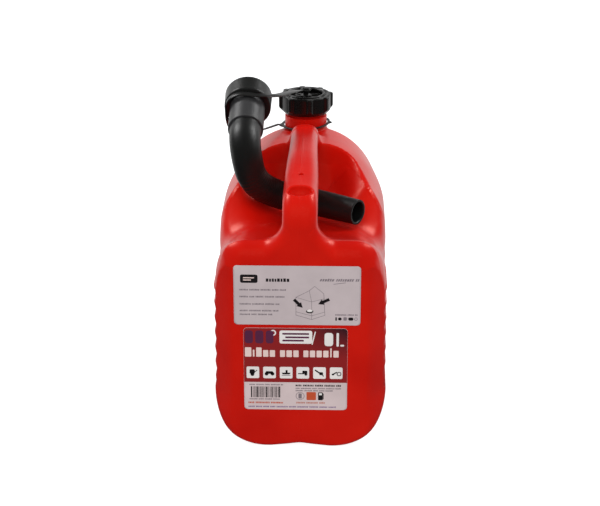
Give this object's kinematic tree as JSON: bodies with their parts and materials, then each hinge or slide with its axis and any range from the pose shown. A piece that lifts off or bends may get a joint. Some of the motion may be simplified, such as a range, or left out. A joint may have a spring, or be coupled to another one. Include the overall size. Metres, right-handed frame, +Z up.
{
  "type": "jerry can",
  "caption": "Plastic fuel can with an integral handle, a tethered screw cap and a flexible pouring spout stowed through its hand gap.",
  "frame": {"origin": "on the ground under the middle of the can's box", "axes": "+X across the can's width, +Y along its length from the labelled end to the neck, +Z up"},
  "size_m": [0.147, 0.2654, 0.2813],
  "materials": {
    "can_red": "semi-gloss blow-moulded polyethylene",
    "cap_black": "satin moulded plastic",
    "cap_inner_black": "satin moulded plastic",
    "gasket_rubber": "matte rubber",
    "tether_black": "satin flexible plastic",
    "sleeve_grey": "satin moulded plastic",
    "collar_black": "satin moulded plastic",
    "hose_black": "glossy flexible corrugated plastic",
    "label_white": "printed coated paper",
    "label_print": "printed coated paper"
  },
  "bodies": {
    "can": {"can_body": "can_red", "tether_ring": "tether_black", "tether_strap": "tether_black", "label_upper": "label_white", "label_lower": "label_print"},
    "cap_eye": {"tether_eye": "tether_black"},
    "cap": {"cap_inner": "cap_inner_black", "cap_gasket": "gasket_rubber"},
    "cap_shell": {"cap_outer": "cap_black"},
    "spout": {"spout_sleeve": "sleeve_grey", "spout_gasket": "gasket_rubber", "spout_hose": "hose_black"},
    "spout_nut": {"spout_collar": "collar_black"}
  },
  "joints": [
    {"name": "cap_lift", "type": "slide", "parent": "can", "child": "cap_eye", "axis": [0, 0, 1], "range_m": [0, 0.0252], "deforming": ["tether_strap"]},
    {"name": "cap_turn", "type": "hinge", "parent": "cap_eye", "child": "cap", "pos_m": [0, 0.095, 0.24], "axis": [0, 0, 1], "range_deg": [0, 2160]},
    {"name": "cap_push", "type": "slide", "parent": "cap", "child": "cap_shell", "axis": [0, 0, -1], "range_m": [0, 0.0018], "stiffness_N_per_m": 500, "springref_m": -0.0005},
    {"name": "spout_withdraw", "type": "slide", "parent": "can", "child": "spout", "axis": [-1, 0, 0], "range_m": [0, 0.09]},
    {"name": "collar_spin", "type": "hinge", "parent": "spout", "child": "spout_nut", "pos_m": [-0.05, 0.02912, 0.25866], "axis": [0, 0.96, 0.28], "continuous": true}
  ],
  "couplings": [
    {"joint": "cap_lift", "follows": "cap_turn", "m_per_rad": 0.00066845}
  ]
}
